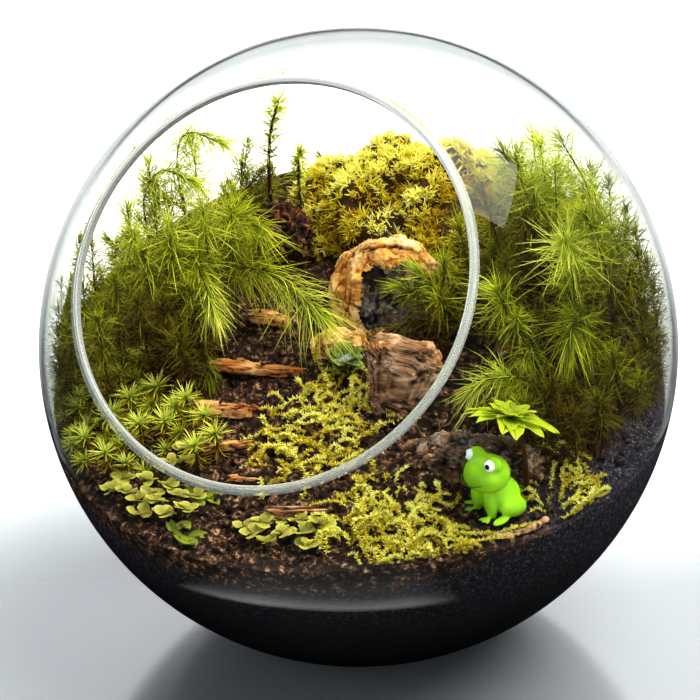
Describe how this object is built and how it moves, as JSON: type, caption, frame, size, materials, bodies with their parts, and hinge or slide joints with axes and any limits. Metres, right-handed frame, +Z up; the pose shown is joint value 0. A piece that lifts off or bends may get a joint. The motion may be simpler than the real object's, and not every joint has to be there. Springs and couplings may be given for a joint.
{
  "type": "glass plant terrarium",
  "caption": "Glass globe with a slanted round mouth, planted as a moss landscape with soil, bark steps and a small sitting frog.",
  "frame": {"origin": "centre of the overall box's bottom face, under the globe's centre on the surface that it stands on", "axes": "+Z up; -Y is the side of the slanted mouth; +X is to the right when looking into the mouth"},
  "size_m": [0.1794, 0.1802, 0.175],
  "materials": {
    "glass": "clear blown glass with a fire-polished rim",
    "soil": null,
    "peat": "fibrous black peat and roots",
    "bark": "weathered pine bark, tan on its split faces and charred in its hollow",
    "glazed_figure": "bright green glaze",
    "star_moss": null,
    "umbrella_moss": "translucent yellow-green leaves",
    "feather_moss": "golden yellow creeping moss",
    "round_leaf": "pale round leaves",
    "cushion_moss": "dense olive cushion moss",
    "tail_moss": "long needle leaves on upright stems"
  },
  "bodies": {
    "root": {"back_moss_mound": "cushion_moss", "bark_arch": "bark", "bark_chunk_mid": "bark", "bark_chunk_right": "bark", "bark_step_1": "bark", "bark_step_2": "bark", "bark_step_3": "bark", "bark_step_4": "bark", "bark_step_5": "bark", "bark_strip_front": "bark", "dark_leaf_cluster": "round_leaf", "fallen_twig": "bark", "feather_moss_centre": "feather_moss", "feather_moss_front": "feather_moss", "feather_moss_right": "feather_moss", "frog_figurine": "glazed_figure", "glass_bowl": "glass", "liverwort_front": "round_leaf", "liverwort_path": "round_leaf", "peat_block_right": "peat", "root_clump": "peat", "round_leaf_front": "round_leaf", "round_leaf_left": "round_leaf", "round_leaf_path": "round_leaf", "soil_bed": "soil", "star_moss_left": "star_moss", "star_moss_path": "star_moss", "tail_moss_back_01": "tail_moss", "tail_moss_back_02": "tail_moss", "tail_moss_left_01": "tail_moss", "tail_moss_left_02": "tail_moss", "tail_moss_left_03": "tail_moss", "tail_moss_left_04": "tail_moss", "tail_moss_left_05": "tail_moss", "tail_moss_left_06": "tail_moss", "tail_moss_left_07": "tail_moss", "tail_moss_left_08": "tail_moss", "tail_moss_left_09": "tail_moss", "tail_moss_left_10": "tail_moss", "tail_moss_left_11": "tail_moss", "tail_moss_left_12": "tail_moss", "tail_moss_right_01": "tail_moss", "tail_moss_right_02": "tail_moss", "tail_moss_right_03": "tail_moss", "tail_moss_right_04": "tail_moss", "tail_moss_right_05": "tail_moss", "tail_moss_right_06": "tail_moss", "tail_moss_right_07": "tail_moss", "tail_moss_right_08": "tail_moss", "tail_moss_right_09": "tail_moss", "tail_moss_right_10": "tail_moss", "tail_moss_right_11": "tail_moss", "tail_moss_right_12": "tail_moss", "tail_moss_right_13": "tail_moss", "tail_moss_right_14": "tail_moss", "tail_moss_right_15": "tail_moss", "tail_moss_right_16": "tail_moss", "tall_sprig_01": "tail_moss", "tall_sprig_02": "tail_moss", "umbrella_moss": "umbrella_moss"}
  },
  "joints": []
}
